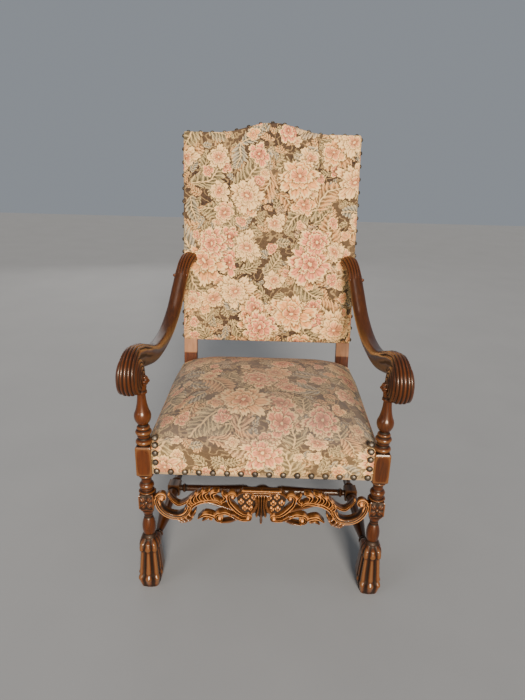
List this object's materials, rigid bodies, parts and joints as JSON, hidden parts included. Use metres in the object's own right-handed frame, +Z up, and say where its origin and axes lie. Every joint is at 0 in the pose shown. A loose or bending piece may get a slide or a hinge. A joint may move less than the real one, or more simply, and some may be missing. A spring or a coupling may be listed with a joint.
{
  "type": "throne armchair",
  "caption": "High-backed throne armchair in carved and turned walnut, with scrolled arms, a pierced front stretcher, paw feet and a padded tapestry seat and arched back with nail trim.",
  "frame": {"origin": "on the floor, under the middle of the whole chair's box", "axes": "+Z up; the chair faces -Y; +X to the right seen from the front"},
  "size_m": [0.699, 0.8024, 1.2261],
  "materials": {
    "leg_walnut": "orange-brown stained walnut, waxed to a soft gloss",
    "post_walnut": "stained walnut, paler where the finish is thin",
    "arm_walnut": "dark stained walnut, polished by hands",
    "carving_walnut": "carved walnut, golden on the high points and dark in the recesses",
    "turned_walnut": "dark stained turned walnut",
    "rail_beech": "plain unfinished beech",
    "tapestry": "woven floral tapestry in faded rose, cream, taupe and grey-green",
    "outside_fabric": "plain taupe woven cloth",
    "black_cloth": "thin black lining cloth",
    "nail_brass": "antiqued domed brass"
  },
  "bodies": {
    "root": {"front_leg_right": "leg_walnut", "front_leg_left": "leg_walnut", "rear_leg_right": "post_walnut", "rear_leg_left": "post_walnut", "arm_right": "arm_walnut", "arm_left": "arm_walnut", "stretcher_front": "carving_walnut", "stretcher_right": "turned_walnut", "stretcher_left": "turned_walnut", "stretcher_cross": "turned_walnut", "seat_rail_front": "rail_beech", "seat_rail_right": "rail_beech", "seat_rail_left": "rail_beech", "seat_rail_rear": "rail_beech", "back_rail_lower": "rail_beech", "back_rail_top": "rail_beech", "seat_upholstery": "tapestry", "back_upholstery": "tapestry", "outside_back": "outside_fabric", "dust_cloth": "black_cloth", "nail_front_1": "nail_brass", "nail_front_2": "nail_brass", "nail_front_3": "nail_brass", "nail_front_4": "nail_brass", "nail_front_5": "nail_brass", "nail_front_6": "nail_brass", "nail_front_7": "nail_brass", "nail_front_8": "nail_brass", "nail_front_9": "nail_brass", "nail_front_10": "nail_brass", "nail_front_11": "nail_brass", "nail_front_12": "nail_brass", "nail_front_13": "nail_brass", "nail_front_14": "nail_brass", "nail_front_15": "nail_brass", "nail_front_16": "nail_brass", "nail_side_right_1": "nail_brass", "nail_side_right_2": "nail_brass", "nail_side_left_1": "nail_brass", "nail_side_left_2": "nail_brass"}
  },
  "joints": []
}
